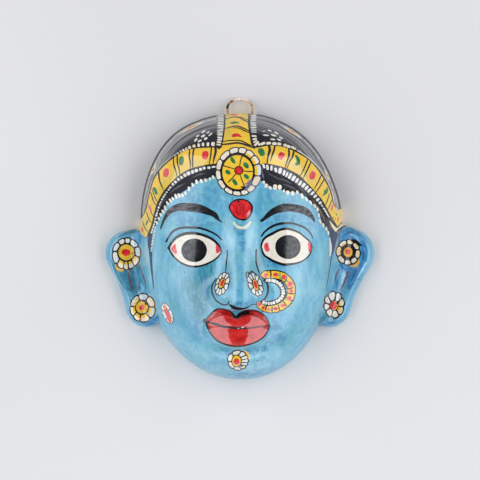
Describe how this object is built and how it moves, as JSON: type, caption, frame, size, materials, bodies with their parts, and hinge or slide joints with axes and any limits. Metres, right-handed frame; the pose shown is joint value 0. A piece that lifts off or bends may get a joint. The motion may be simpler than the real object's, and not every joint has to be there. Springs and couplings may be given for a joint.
{
  "type": "cheriyal mask",
  "caption": "Hand-painted hanging wall mask of a blue-skinned face with large side ears, gold tiara and glossy black hair; hollow back and a twine loop at the crown.",
  "frame": {"origin": "on the plane of the flat back rim, under the middle of the mask's box, ears included and the twine loop left out", "axes": "+Z out of the face, which lies face up on its back rim; +Y from the chin to the crown; +X to the viewer's right as one looks at the face"},
  "size_m": [0.14, 0.1466, 0.0489],
  "materials": {
    "painted_paste": "moulded sawdust and seed paste, hand painted in sky blue, black, yellow, red, green and cream under a glossy varnish; bare buff paste inside and on the back rim",
    "twine": "brown two-ply twine, touched by black and cream paint"
  },
  "bodies": {
    "root": {"mask": "painted_paste", "hanging_loop": "twine"}
  },
  "joints": []
}
